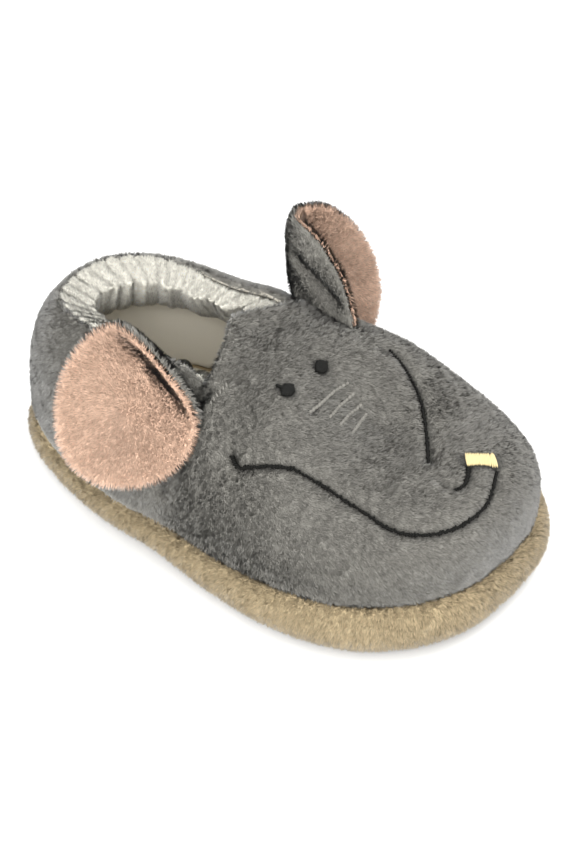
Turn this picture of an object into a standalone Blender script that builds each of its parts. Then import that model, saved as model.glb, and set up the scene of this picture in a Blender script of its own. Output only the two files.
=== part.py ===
"""A baby's plush slipper with an elephant's ears, for the right foot.

A padded sole cup carries a hollow domed upper. The collar is a narrow opening with a V notch on each side and
a tongue edge in front, and a gathered roll lines it round the heel. An ear is sewn into the seam below each notch.
Lengths are in metres. The toe points along -Y, and the wearer's right, the outer side, is -X.
The origin lies on the floor, under the middle of the heel.
"""

import math
from collections import namedtuple

import bmesh
import bpy
from mathutils import Vector

# Driving dimensions
LENGTH = 0.126
BALL_WIDTH = 0.074
HEEL_WIDTH = 0.055
INSTEP_HEIGHT = 0.049
HEEL_HEIGHT = 0.0455
HEEL_CENTRE = 0.027
WALL = 0.003
GAP = 0.0003

# The sole cup
SEAM_HEIGHT = 0.0124
SOLE_PAD = 0.0050
SOLE_BULGE = 0.0028
SOLE_EDGE = 0.0065
TOE_SPRING = 0.0015
ARCH_LIFT = 0.0010
INSOLE_THICKNESS = 0.0025

# The upper
HEM = 0.0015
BELLY = 0.0016
SEAM_DENT = 0.0012
SEAM_DENT_WIDTH = 0.0045
TONGUE_FLARE = 0.0022
COLLAR_WALL = 0.0014
THIN_FROM = 0.60
THIN_OPENING = 0.25

# The gathered roll inside the collar, which laps over its edge round the heel
CUFF_HEIGHT = 0.0135
CUFF_THICKNESS = 0.0070
CUFF_PROUD = 0.0004
CUFF_OVERHANG = 0.0010
CUFF_LAP = 0.75
CUFF_LAP_FULL = 0.12
CUFF_LAP_NONE = 0.30
CUFF_CLEARANCE = 0.0006
GATHERS = 17
GATHER_DEPTH = 0.0008

# The ears
EAR_WIDTH = 0.0355
EAR_BACK = 0.0022
EAR_FACE = 0.0020
EAR_EDGE = 0.0007
EAR_CUP = 0.0030
FOLD_RADIUS = 0.0048

BLUNTNESS = 0.76
SIDES = {"lateral": -1, "medial": 1}

# Each row is a place along the shoe, as a share of LENGTH from the heel. The widths are shares of HEEL_WIDTH and
# BALL_WIDTH for half the shoe, the swing a share of BALL_WIDTH, the crest shares of HEEL_HEIGHT and INSTEP_HEIGHT,
# the seam a share of SEAM_HEIGHT, and the bulge a share of SOLE_BULGE.
Section = namedtuple("Section", "share heel_width ball_width swing heel_crest instep_crest seam bulge square")
SECTIONS = (
    Section(0.00, 0.56, 0.00, 0.000, 0.97, 0.00, 0.52, 0.40, 2.7),
    Section(0.15, 0.56, 0.00, 0.000, 1.00, 0.00, 0.54, 0.42, 2.6),
    Section(0.30, 0.50, 0.05, -0.006, 1.00, 0.00, 0.60, 0.55, 2.4),
    Section(0.42, 0.18, 0.30, 0.002, 0.00, 0.91, 0.69, 0.75, 2.3),
    Section(0.55, 0.00, 0.48, 0.008, 0.00, 0.90, 0.79, 0.92, 2.2),
    Section(0.70, 0.00, 0.53, 0.004, 0.00, 0.71, 0.93, 1.00, 2.3),
    Section(0.85, 0.00, 0.57, 0.010, 0.00, 0.64, 1.03, 1.00, 2.5),
    Section(1.00, 0.00, 0.58, 0.030, 0.00, 0.50, 1.06, 1.00, 2.7),
)

# Each row is a column of the upper, from the heel round one side to the toe: where it stands on the sole and
# where it leans on the ridge, as shares of LENGTH, and how far up it ends, where 1 is the ridge.
Column = namedtuple("Column", "base crest rise")
HEEL_BACK = Column(0.000, 0.22, 0.56)
NOTCH = Column(0.455, 0.455, 0.655)
TONGUE = Column(0.525, 0.405, 1.00)
COLUMNS = (
    HEEL_BACK,
    Column(0.020, 0.222, 0.57),
    Column(0.070, 0.228, 0.60),
    Column(0.150, 0.250, 0.645),
    Column(0.250, 0.300, 0.68),
    Column(0.345, 0.365, 0.70),
    Column(0.415, 0.420, 0.69),
    NOTCH,
    Column(0.476, 0.424, 0.82),
    Column(0.500, 0.411, 0.93),
    TONGUE,
    Column(0.570, 0.450, 1.00),
    Column(0.630, 0.520, 1.00),
    Column(0.700, 0.585, 1.00),
    Column(0.780, 0.650, 1.00),
    Column(0.860, 0.710, 1.00),
    Column(0.930, 0.760, 1.00),
    Column(0.980, 0.795, 1.00),
    Column(1.000, 0.810, 1.00),
)
STEPS_BETWEEN = 3
ROWS_UP = 10

# Each row is an ear: the side it is on, how far along and up the seam its base is centred, the directions in which
# it reaches and faces, as (out, towards the heel, up), its length, how much of that is sunk in the seam, how much
# it narrows towards its base, and how far its front strip is folded over its face.
Ear = namedtuple("Ear", "side base rise reach face length sink taper fold_from fold_turn fold_angle")
EARS = (
    Ear("lateral", 0.425, 0.43, (0.12, 0.96, 0.12), (0.92, -0.12, 0.44), 0.0330, 0.0065, 0.16, -0.15, 26, 52),
    Ear("medial", 0.440, 0.44, (0.09, 0.33, 0.91), (-0.17, -0.96, 0.10), 0.0385, 0.0125, -0.10, 0.00, -3, 94),
)
EAR_SPOKES = 36
EAR_RINGS = (0.30, 0.55, 0.76, 0.90, 0.98, 1.0)


def along(share, column):
    """The value of a column of SECTIONS at a share of the length, on a smooth curve through the rows."""
    share = min(max(share, 0.0), 1.0)
    rows = [SECTIONS[0], *SECTIONS, SECTIONS[-1]]
    place = 1
    while place < len(rows) - 3 and rows[place + 1].share < share:
        place += 1
    span = rows[place + 1].share - rows[place].share
    step = (share - rows[place].share) / span
    before, start, end, after = (getattr(row, column) for row in rows[place - 1 : place + 3])
    slope_in = (end - before) / 2
    slope_out = (after - start) / 2
    return (
        start * (1 - 3 * step**2 + 2 * step**3)
        + end * (3 * step**2 - 2 * step**3)
        + slope_in * (step - 2 * step**2 + step**3)
        + slope_out * (step**3 - step**2)
    )


def length_at(share, inset=0.0):
    """Y of a share of the length on an outline that is inset all round."""
    middle = HEEL_CENTRE - LENGTH / 2
    return middle + (LENGTH / 2 - inset) * (1 - 2 * share)


def swing_at(share):
    return BALL_WIDTH * along(share, "swing")


def outline(side, share, inset=0.0):
    """The point of the sole's plan outline at this share of the length, inset all round."""
    half = HEEL_WIDTH * along(share, "heel_width") + BALL_WIDTH * along(share, "ball_width") - inset
    roundness = math.sqrt(max(1 - (1 - 2 * share) ** 2, 0.0)) ** BLUNTNESS
    return Vector((side * half * roundness + swing_at(share), length_at(share, inset), 0.0))


def bulge_at(share):
    """How far the sole's band stands out from the foot of the upper."""
    return SOLE_BULGE * along(share, "bulge")


def seam_at(share):
    """Height of the seam between the sole's band and the upper."""
    return SEAM_HEIGHT * along(share, "seam")


def crest_at(share, grow=0.0):
    """The point of the upper's ridge at this share of the length."""
    height = HEEL_HEIGHT * along(share, "heel_crest") + INSTEP_HEIGHT * along(share, "instep_crest")
    flare = TONGUE_FLARE * math.exp(-(((share - TONGUE.crest) / 0.05) ** 2))
    return Vector((swing_at(share), length_at(share), height + flare + grow))


def skin(side, column, rise, grow=0.0):
    """A point of the upper's outside on a column, where rise runs from 0 above the hem to 1 at the ridge."""
    foot = outline(side, column.base, bulge_at(column.base) - grow)
    crest = crest_at(column.crest, grow)
    seam = seam_at(column.base) + HEM
    turn = min(max(rise, 0.0), 1.0) * math.pi / 2
    power = 2 / along(column.base, "square")
    inward = 1 - math.cos(turn) ** power if rise < 1 else 1.0
    upward = math.sin(turn) ** power
    point = foot.lerp(Vector((crest.x, crest.y, 0.0)), inward)
    out = Vector((foot.x - crest.x, foot.y - crest.y, 0.0)).normalized()
    swell = math.sin(2 * turn)
    seam_line = (column.base - NOTCH.base) * LENGTH / SEAM_DENT_WIDTH
    dent = SEAM_DENT * math.exp(-(seam_line**2)) * swell
    point += out * (BELLY * swell - dent)
    point.z = seam + (crest.z - seam) * upward
    return point


def columns_of(steps):
    """The rows of COLUMNS with steps - 1 more between each two."""
    found = []
    for start, end in zip(COLUMNS, COLUMNS[1:]):
        for step in range(steps):
            share = step / steps
            found.append(Column(*(a + (b - a) * share for a, b in zip(start, end))))
    return [*found, COLUMNS[-1]]


def loft(name, columns, hollow=False, ridged=None, ridge_row=None):
    """A mesh through columns of points that go round a form. Points that coincide are welded.

    A hollow form's columns come back to where they start. Where two neighbouring columns both end on the ridge,
    their ridge row has no face.
    """
    mesh = bmesh.new()
    rings = [[mesh.verts.new(point) for point in column] for column in columns]
    count = len(rings[0])
    for index, left in enumerate(rings):
        beside = (index + 1) % len(rings)
        right = rings[beside]
        for low in range(count if hollow else count - 1):
            high = (low + 1) % count
            if low == ridge_row and ridged[index] and ridged[beside]:
                continue
            mesh.faces.new((left[low], right[low], right[high], left[high]))
    bmesh.ops.remove_doubles(mesh, verts=mesh.verts, dist=1e-6)
    data = bpy.data.meshes.new(name)
    mesh.to_mesh(data)
    mesh.free()
    return data


def all_round(steps):
    """Side and column for every column, counter-clockwise from the heel as seen from above."""
    half = columns_of(steps)
    lateral = [(SIDES["lateral"], column) for column in half]
    medial = [(SIDES["medial"], column) for column in half[1:-1]]
    return lateral + medial[::-1]


def wall_at(column, rise):
    """How thick the wall is at a height on a column: it thins towards the collar's edge."""
    near_edge = min(max((rise / column.rise - THIN_FROM) / (1 - THIN_FROM), 0.0), 1.0)
    opening = min((1 - column.rise) / THIN_OPENING, 1.0)
    return WALL - (WALL - COLLAR_WALL) * near_edge * opening


def upper_wall(side, column, grow, inside=False):
    """One surface of the upper's wall on a column, from the hem up to the collar or the ridge."""
    hem_inset = bulge_at(column.base) - grow + (WALL if inside else 0.0)
    wall = [outline(side, column.base, hem_inset) + Vector((0, 0, seam_at(column.base)))]
    for row in range(ROWS_UP + 1):
        rise = column.rise * row / ROWS_UP
        wall.append(skin(side, column, rise, grow - (wall_at(column, rise) if inside else 0.0)))
    return wall


def dome(name, grow):
    """The upper's outside closed below and over the collar, for trimming what is sewn on it."""
    columns = []
    ridged = []
    middle = (HEEL_BACK.crest + TONGUE.crest) / 2
    cap = crest_at(middle, grow)
    for side, column in all_round(STEPS_BETWEEN):
        crest = crest_at(column.crest)
        wall = upper_wall(side, column, grow)
        below = Vector((wall[0].x, wall[0].y, 0.0))
        columns.append([Vector((crest.x, crest.y, 0.0)), below, *wall, cap])
        ridged.append(column.rise == 1.0)
    return loft(name, columns, ridged=ridged, ridge_row=len(columns[0]) - 2)


def collar_filling(name, grow):
    """The hull of the collar's edge, which fills its notches, for trimming too."""
    mesh = bmesh.new()
    for side, column in all_round(STEPS_BETWEEN):
        if column.base <= TONGUE.base:
            for row in (0.6, 1.0):
                mesh.verts.new(skin(side, column, column.rise * row, grow))
    hull = bmesh.ops.convex_hull(mesh, input=mesh.verts)
    inner = [item for item in hull["geom_interior"] if isinstance(item, bmesh.types.BMVert)]
    bmesh.ops.delete(mesh, geom=inner, context="VERTS")
    bmesh.ops.recalc_face_normals(mesh, faces=mesh.faces)
    data = bpy.data.meshes.new(name)
    mesh.to_mesh(data)
    mesh.free()
    return data


def finish_object(name, data, colour, roughness, collection, smooth_angle=50.0):
    """An object with its own material, shaded smooth."""
    piece = bpy.data.objects.new(name, data)
    collection.objects.link(piece)
    material = bpy.data.materials.new(name)
    material.use_nodes = True
    shader = material.node_tree.nodes["Principled BSDF"]
    shader.inputs["Base Color"].default_value = (*colour, 1.0)
    shader.inputs["Roughness"].default_value = roughness
    shader.inputs["Metallic"].default_value = 0.0
    data.materials.append(material)
    data.shade_smooth()
    data.set_sharp_from_angle(angle=math.radians(smooth_angle))
    return piece


def make_sole(collection):
    """A padded cup: a rounded, flat-bottomed pad whose edge turns up as a band to the seam."""
    columns = []
    for side, column in all_round(STEPS_BETWEEN):
        share = column.base
        seam = seam_at(share)
        spine = Vector((swing_at(column.crest), length_at(column.crest), 0.0))
        arch = max(0.0, 1 - ((share - 0.42) / 0.16) ** 2) ** 2
        spring = max(0.0, (share - 0.86) / 0.14) ** 2
        lift = ARCH_LIFT * arch + TOE_SPRING * spring
        middle = lift + (seam - lift) * 0.48
        points = [spine, outline(side, share, SOLE_EDGE) + Vector((0, 0, lift))]
        for step in (0.25, 0.5, 0.75, 1.0):
            turn = step * math.pi / 2
            inset = SOLE_EDGE * (1 - math.sin(turn))
            height = middle - (middle - lift) * math.cos(turn)
            points.append(outline(side, share, inset) + Vector((0, 0, height)))
        for step in (0.35, 0.7, 1.0):
            turn = step * math.pi / 2
            inset = bulge_at(share) * (1 - math.cos(turn))
            height = middle + (seam - GAP - middle) * math.sin(turn)
            points.append(outline(side, share, inset) + Vector((0, 0, height)))
        inside = bulge_at(share) + WALL
        points.append(outline(side, share, inside) + Vector((0, 0, seam - GAP)))
        points.append(outline(side, share, inside) + Vector((0, 0, SOLE_PAD)))
        points.append(spine + Vector((0, 0, SOLE_PAD)))
        columns.append(points)
    data = loft("sole", columns)
    return finish_object("sole", data, (0.56, 0.43, 0.24), 0.95, collection)


def make_insole(collection):
    """The lined pad that lies in the sole cup."""
    rounding = INSOLE_THICKNESS * 0.4
    low = SOLE_PAD + GAP
    high = low + INSOLE_THICKNESS
    columns = []
    for side, column in all_round(1):
        share = column.base
        edge = bulge_at(share) + WALL + GAP
        spine = Vector((swing_at(column.crest), length_at(column.crest), 0.0))
        columns.append(
            (
                spine + Vector((0, 0, low)),
                outline(side, share, edge) + Vector((0, 0, low)),
                outline(side, share, edge) + Vector((0, 0, high - rounding)),
                outline(side, share, edge + rounding) + Vector((0, 0, high)),
                spine + Vector((0, 0, high)),
            )
        )
    data = loft("insole", columns)
    return finish_object("insole", data, (0.74, 0.70, 0.60), 0.95, collection)


def make_upper(collection):
    """The grey shell: open underneath and at the collar, with its lining in its wall."""
    path = all_round(STEPS_BETWEEN)
    columns = []
    for side, column in path:
        columns.append(upper_wall(side, column, 0.0) + upper_wall(side, column, 0.0, inside=True)[::-1])
    ridged = [column.rise == 1.0 for _, column in path]
    data = loft("upper", columns, hollow=True, ridged=ridged, ridge_row=len(columns[0]) // 2 - 1)
    return finish_object("upper", data, (0.145, 0.14, 0.125), 0.95, collection)


def collar_path(steps):
    """Side and column along the collar, from the outer notch round the heel to the inner notch."""
    half = [column for column in columns_of(steps) if column.base <= NOTCH.base + 1e-9]
    lateral = [(SIDES["lateral"], column) for column in half[:0:-1]]
    medial = [(SIDES["medial"], column) for column in half]
    return lateral + medial


def over_the_edge(side, column, shoulder, outward):
    """The points of the roll's lip, from the wall's inner face over the collar's edge and up to its peak."""
    up = Vector((0, 0, 1))
    share = (CUFF_LAP_NONE - column.base) / (CUFF_LAP_NONE - CUFF_LAP_FULL)
    lap = CUFF_LAP * min(max(share, 0.05), 1.0)
    edge = skin(side, column, column.rise, 0.0).z + CUFF_CLEARANCE
    foot = shoulder + up * (edge - shoulder.z) * lap
    lip = foot + outward * CUFF_OVERHANG * lap
    peak = foot + outward * (0.3 * CUFF_OVERHANG * lap) + up * CUFF_PROUD
    return [foot, lip, lip.lerp(peak, 0.5) + (outward + up) * (0.2 * CUFF_OVERHANG * lap), peak]


def make_cuff(collection):
    """A gathered roll that lines the wall and laps over the collar's edge, thinner towards the notches."""
    path = collar_path(6)
    last = len(path) - 1
    columns = []
    for index, (side, column) in enumerate(path):
        along_roll = index / last
        fullness = math.sin(math.pi * along_roll) ** 0.55
        height = CUFF_HEIGHT * (0.58 + 0.42 * fullness)
        thickness = CUFF_THICKNESS * (0.52 + 0.48 * fullness)
        gather = math.cos(2 * math.pi * GATHERS * along_roll)
        rim = beside_wall(side, column, column.rise)
        crest = crest_at(column.crest)
        inward = Vector((crest.x - rim.x, crest.y - rim.y, 0.0)).normalized()
        section = []
        for step in range(5):
            down = height * (1 - step / 4)
            lower = wall_below(side, column, rim.z - down)
            section.append(lower)
        section += over_the_edge(side, column, rim, -inward)
        top = section[-1]
        for step in range(1, 6):
            turn = math.pi * (0.12 + 0.80 * step / 5)
            bulge = (thickness + GATHER_DEPTH * gather) * math.sin(turn) ** 0.8
            drop = (height + CUFF_PROUD) * (1 - math.cos(turn)) / 2
            anchor = wall_below(side, column, top.z - drop)
            section.append(Vector((anchor.x, anchor.y, top.z - drop)) + inward * (bulge + 0.2 * thickness))
        columns.append(section + [section[0]])
    data = loft_with_ends("collar_cuff", columns)
    return finish_object("collar_cuff", data, (0.70, 0.68, 0.57), 0.9, collection)


def beside_wall(side, column, rise):
    """The point just inside the wall at a height on a column."""
    return skin(side, column, rise, -wall_at(column, rise) - CUFF_CLEARANCE)


def wall_below(side, column, height):
    """The point just inside the wall of a column at a height, no higher than the collar's edge."""
    low, high = 0.0, column.rise
    for _ in range(24):
        middle = (low + high) / 2
        if beside_wall(side, column, middle).z < height:
            low = middle
        else:
            high = middle
    return beside_wall(side, column, high)


def loft_with_ends(name, columns):
    """A tube through closed sections, with a flat face over each end."""
    mesh = bmesh.new()
    rings = [[mesh.verts.new(point) for point in section[:-1]] for section in columns]
    count = len(rings[0])
    for left, right in zip(rings, rings[1:]):
        for step in range(count):
            after = (step + 1) % count
            mesh.faces.new((left[step], left[after], right[after], right[step]))
    mesh.faces.new(rings[0][::-1])
    mesh.faces.new(rings[-1])
    bmesh.ops.recalc_face_normals(mesh, faces=mesh.faces)
    data = bpy.data.meshes.new(name)
    mesh.to_mesh(data)
    mesh.free()
    return data


def folded(reach, across, ear):
    """(reach, across, height) of a point of the flat ear once its front strip is bent over its face."""
    turn = math.radians(ear.fold_turn)
    line = Vector((math.cos(turn), -math.sin(turn)))
    away = Vector((-math.sin(turn), -math.cos(turn)))
    start = Vector((0.0, ear.fold_from * EAR_WIDTH))
    flat = Vector((reach, across)) - start
    beyond = flat.dot(away)
    if beyond <= 0:
        return reach, across, 0.0
    angle = math.radians(ear.fold_angle)
    bent = min(beyond, FOLD_RADIUS * angle)
    straight = beyond - bent
    on_arc = bent / FOLD_RADIUS
    shift = FOLD_RADIUS * math.sin(on_arc) + straight * math.cos(angle)
    height = FOLD_RADIUS * (1 - math.cos(on_arc)) + straight * math.sin(angle)
    place = start + line * flat.dot(line) + away * shift
    return place.x, place.y, height


def ear_middle(ear, frame, reach, across):
    """The point of an ear's middle surface that a point of the flat pattern comes to."""
    origin, reach_way, across_way, face_way = frame
    place = folded(reach, across, ear)
    from_centre = (reach + ear.sink) / (ear.length / 2) - 1
    rim = from_centre**2 + (across / (EAR_WIDTH / 2)) ** 2
    height = place[2] + EAR_CUP * rim
    return origin + reach_way * place[0] + across_way * place[1] + face_way * height


def ear_point(ear, frame, ring, spoke, layer):
    """A point of an ear, where layer is the distance in front of its middle surface."""
    turn = 2 * math.pi * spoke / EAR_SPOKES
    narrow = 1 - ear.taper * math.cos(turn) * ring
    reach = ear.length / 2 * (1 - ring * math.cos(turn)) - ear.sink
    across = EAR_WIDTH / 2 * ring * math.sin(turn) * narrow
    step = 0.0001
    point = ear_middle(ear, frame, reach, across)
    on_reach = ear_middle(ear, frame, reach + step, across) - ear_middle(ear, frame, reach - step, across)
    on_across = ear_middle(ear, frame, reach, across + step) - ear_middle(ear, frame, reach, across - step)
    facing = on_reach.cross(on_across).normalized()
    if frame[1].cross(frame[2]).dot(frame[3]) < 0:
        facing = -facing
    return point + facing * layer


def ear_frame(ear):
    """The middle of an ear's base and its three directions."""
    side = SIDES[ear.side]
    column = Column(ear.base, NOTCH.crest, 1.0)
    origin = skin(side, column, ear.rise)
    reach = Vector((side * ear.reach[0], ear.reach[1], ear.reach[2])).normalized()
    face = Vector((side * ear.face[0], ear.face[1], ear.face[2]))
    face = (face - reach * face.dot(reach)).normalized()
    across = reach.cross(face) * side
    if across.z > 0:
        across = -across
    return origin, reach, across, face


def ear_layer(ear, name, near, far, colour, collection):
    """One of an ear's two fabrics: a thin pillow between two distances from its middle surface."""
    frame = ear_frame(ear)
    columns = []
    for spoke in range(EAR_SPOKES):
        points = []
        for limit, rings in ((near, (0.0, *EAR_RINGS)), (far, (*EAR_RINGS[::-1], 0.0))):
            for ring in rings:
                soft = math.sqrt(max(1 - ring**4, 0.0))
                inner = math.copysign(GAP / 2, limit)
                edge = math.copysign(EAR_EDGE, limit)
                outermost = limit is (far if abs(far) > abs(near) else near)
                layer = edge + (limit - edge) * soft if outermost else inner
                points.append(ear_point(ear, frame, ring, spoke, layer))
        columns.append(points)
    data = loft(name, columns)
    mesh = bmesh.new()
    mesh.from_mesh(data)
    bmesh.ops.recalc_face_normals(mesh, faces=mesh.faces)
    mesh.to_mesh(data)
    mesh.free()
    return finish_object(name, data, colour, 0.95, collection)


def make_ears(collection, trimmers):
    """Each ear is trimmed by the upper's own form, so that its base lies along the seam."""
    for ear in EARS:
        layers = (
            ("back", -GAP / 2, -EAR_BACK, (0.145, 0.14, 0.125)),
            ("face", GAP / 2, EAR_FACE, (0.80, 0.52, 0.36)),
        )
        for word, near, far, colour in layers:
            piece = ear_layer(ear, f"ear_{ear.side}_{word}", near, far, colour, collection)
            for trimmer in trimmers:
                trim = piece.modifiers.new("Trim", "BOOLEAN")
                trim.operation = "DIFFERENCE"
                trim.object = trimmer


def new_collection(name):
    collection = bpy.data.collections.new(name)
    bpy.context.scene.collection.children.link(collection)
    return collection


def main():
    for old in list(bpy.data.objects):
        bpy.data.objects.remove(old)
    slipper = new_collection("elephant_slipper")
    cutters = new_collection("cutters")
    trimmers = [
        bpy.data.objects.new("upper_form", dome("upper_form", GAP)),
        bpy.data.objects.new("collar_form", collar_filling("collar_form", GAP)),
    ]
    for trimmer in trimmers:
        cutters.objects.link(trimmer)
        trimmer.hide_render = True
        trimmer.display_type = "WIRE"
    make_sole(slipper)
    make_insole(slipper)
    make_upper(slipper)
    make_cuff(slipper)
    make_ears(slipper, trimmers)


main()
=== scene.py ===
"""A baby's elephant slipper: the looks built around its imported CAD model."""

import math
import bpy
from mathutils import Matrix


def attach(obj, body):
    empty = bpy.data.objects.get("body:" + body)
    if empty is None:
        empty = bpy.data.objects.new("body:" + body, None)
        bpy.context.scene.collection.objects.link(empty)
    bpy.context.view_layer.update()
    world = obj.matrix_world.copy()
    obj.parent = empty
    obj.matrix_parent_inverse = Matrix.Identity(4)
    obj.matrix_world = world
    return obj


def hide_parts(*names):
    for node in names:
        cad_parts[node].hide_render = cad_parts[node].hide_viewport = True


bl_info = {
    "name": "Elephant Slipper",
    "version": (1, 0, 0),
    "blender": (4, 5, 0),
    "location": "View3D > Sidebar > Slipper",
    "description": "Builds a baby's plush slipper with an elephant's head",
    "category": "Object",
}

import bmesh
import bpy
import numpy as np
from mathutils import Matrix, Vector, noise
from mathutils.bvhtree import BVHTree

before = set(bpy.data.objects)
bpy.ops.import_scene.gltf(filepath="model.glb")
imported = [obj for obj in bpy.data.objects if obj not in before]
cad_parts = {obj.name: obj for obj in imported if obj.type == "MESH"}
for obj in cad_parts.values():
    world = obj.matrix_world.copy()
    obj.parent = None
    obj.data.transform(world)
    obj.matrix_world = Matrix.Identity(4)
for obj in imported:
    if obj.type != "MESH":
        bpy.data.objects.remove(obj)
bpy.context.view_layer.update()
MM = 0.001

# Where the foot's middle line runs inside the shoe, from which outwards is told
HEEL_AXIS_Y = 0.004
TOE_AXIS_Y = -0.074
AXIS_Z = 0.014

# Voxels of the soft forms
UPPER_VOXEL = 0.8 * MM
SOLE_VOXEL = 1.0 * MM
INSOLE_VOXEL = 1.4 * MM
CUFF_VOXEL = 0.6 * MM
EAR_VOXEL = 0.46 * MM

# The near side's seam between the vamp and the heel quarter, in millimetres, and where the piles part
QUARTER_SEAM = ((-19.1, -31.8, 41.5), (-23.7, -30.9, 35.2), (-27.6, -28.4, 27.6), (-29.5, -27.3, 19.2))
SEAM_STITCHES = ((-20.6, -34.6, 40.6), (-19.1, -34.7, 41.6), (-16.2, -35.1, 42.9))
QUARTER_Y = -29.0 * MM

# Embroidery on the vamp, in millimetres: a SEWN line is its groove's path without the start
MOUTH_LINE = (
    (-26.6, -44.2, 34.7), (-27.8, -46.5, 33.5), (-26.8, -50.1, 35.1), (-25.2, -54.1, 36.3),
    (-23.3, -58.0, 36.2), (-22.6, -61.6, 35.2), (-21.7, -66.2, 33.6), (-21.2, -71.0, 32.0),
    (-20.8, -75.8, 30.6), (-20.6, -79.8, 29.5), (-19.7, -82.8, 28.8), (-18.2, -85.3, 28.4),
    (-15.9, -87.8, 28.1), (-13.0, -89.9, 28.0), (-9.4, -91.6, 28.1), (-4.6, -92.5, 28.2),
    (-0.4, -92.4, 28.6), (3.8, -91.1, 29.5), (7.6, -89.3, 30.2),
)
TRUNK_LINE = (
    (17.2, -52.8, 40.3), (18.7, -53.9, 39.6), (18.3, -56.3, 38.7), (17.1, -59.8, 37.2),
    (15.2, -63.3, 35.7), (12.6, -66.6, 34.4), (8.3, -70.4, 33.4), (4.6, -73.3, 32.9),
    (-0.5, -77.0, 32.4),
)
NOSTRIL_LINE = (
    (-4.3, -81.0, 31.5), (-4.8, -84.3, 31.5), (-3.6, -86.1, 31.5), (-1.7, -86.9, 31.5),
    (1.3, -86.0, 31.5), (3.3, -84.7, 31.5),
)
WRINKLES = (
    ((-10.1, -53.1, 41), (-6.3, -53.4, 41), (-1.0, -53.1, 41), (2.9, -53.8, 41)),
    ((-7.4, -56.7, 40), (-2.5, -56.2, 40), (1.9, -56.2, 40)),
    ((-6.7, -59.2, 39), (-2.6, -58.8, 39), (1.2, -58.8, 39)),
    ((-5.8, -62.0, 38), (-2.6, -61.4, 38), (0.5, -60.8, 38)),
)
EYES = ((-10.1, -46.7, 43.0), (1.4, -47.2, 42.3))
LASH = ((-10.6, -44.4, 43.0), (-10.4, -45.7, 43.0))
TIP_BAND = ((4.9, -83.15, 31.8), (9.4, -87.4, 30.7))
TIP_BAND_WIDTH = 4.0
EYE_RADIUS = 1.75
SEWN_TRUNK = TRUNK_LINE[1:]
SEWN_NOSTRIL = NOSTRIL_LINE[2:]

# Grooves that the sewn lines and the seam press into the upper: path, depth and width in millimetres
GROOVES = (
    (MOUTH_LINE, 0.9, 1.6), (TRUNK_LINE, 0.9, 1.6), (NOSTRIL_LINE, 0.6, 1.3), (QUARTER_SEAM, 0.8, 1.4),
    *((wrinkle, 0.6, 1.0) for wrinkle in WRINKLES),
)

# How far the pile stays clear of a sewn line's middle, where it starts, and where it is full
LINE_CLEARANCE = 0.5 * MM
CLEARING_EDGE = 0.3 * MM
CLEARING_RISE = 2.2 * MM

# The nap: which way it lies on the vamp and the heel, how long the change takes, and a swirl on the vamp
VAMP_NAP = (0.15, -1.0, -0.35)
HEEL_NAP = (0.0, -0.2, -1.0)
NAP_CHANGE = 16 * MM
SWIRL = (13.9, -72.9, 32.8)
SWIRL_REACH = 7 * MM

# Where the upper's pile starts above the sole's edge, and the height over which it thickens
UPPER_PILE_FROM = 9 * MM
UPPER_PILE_RISE = 2 * MM

# The sole's pile: its length, and the heights over the floor where it starts and where its tips stay
SOLE_PILE_LENGTH = 1.3 * MM
SOLE_PILE_FROM = 1.0 * MM
SOLE_TIPS_FROM = 0.3 * MM

# Where the near ear's fold closes, the crease of the far ear's back, and how high a full ridge stands out
FOLD_TOP = ((-25.4, -6.0, 51.0), (-24.9, -9.0, 50.0), (-24.7, -12.0, 48.2))
FAR_CREASE = ((19.6, -27.6, 52.0), (19.2, -29.6, 51.1), (18.4, -34.6, 48.9), (17.7, -39.4, 46.3))
RIDGE_HEIGHT = 0.35 * MM

# Ribs of the gathered cuff in a full turn, the depth between them, and the point that they run out from
CUFF_RIBS = 40
FURROW_DEPTH = 0.9 * MM
CUFF_CENTRE = (0.0, -6.0, 0.0)

# The stage in metres: half the floor's side, each lamp's place, side and watts, and what they point at
FLOOR_HALF = 3.0
LAMPS = (("key", (0.60, -0.35, 0.95), 0.6, 5.0), ("fill", (-0.85, -0.40, 0.55), 0.8, 10.0))
LAMP_AIM = (0, -0.035, 0.02)

# The camera: the ways back to it and to its right, its roll in degrees, its aim, shift and distance
VIEW_BACK = (-0.6304, -0.4430, 0.6374)
VIEW_RIGHT = (0.5750, -0.8181, 0.0)
VIEW_ROLL = 1.0
VIEW_AIM = (0.0, -0.0355, 0.02)
SHIFT_RIGHT = 3.7 * MM
SHIFT_DOWN = 0.2 * MM
VIEW_DISTANCE = 0.645
SENSOR_WIDTH = 36.0
NEAR_CLIP = 0.01

PILE_ATTRIBUTES = ("pile", "nap", "height")


class PlushSettings(bpy.types.PropertyGroup):
    """Colours and sizes of the plush"""

    grey: bpy.props.FloatVectorProperty(
        name="Grey", description="Tips of the grey plush", subtype="COLOR", size=3,
        min=0, max=1, default=(0.325, 0.312, 0.277),
    )
    tan: bpy.props.FloatVectorProperty(
        name="Tan", description="Tips of the sole's plush", subtype="COLOR", size=3,
        min=0, max=1, default=(0.700, 0.550, 0.330),
    )
    cream: bpy.props.FloatVectorProperty(
        name="Cream", description="Cuff and lining", subtype="COLOR", size=3,
        min=0, max=1, default=(0.930, 0.900, 0.790),
    )
    pink: bpy.props.FloatVectorProperty(
        name="Pink", description="Faces of the ears", subtype="COLOR", size=3,
        min=0, max=1, default=(0.780, 0.515, 0.372),
    )
    fibre: bpy.props.FloatProperty(
        name="Fibre", description="Width of a fibre at its root", subtype="DISTANCE",
        min=0.00005, max=0.001, default=0.00026,
    )
    density: bpy.props.FloatProperty(
        name="Density", description="Share of the full number of fibres", min=0.02, max=1.5, default=1.0,
    )


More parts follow.
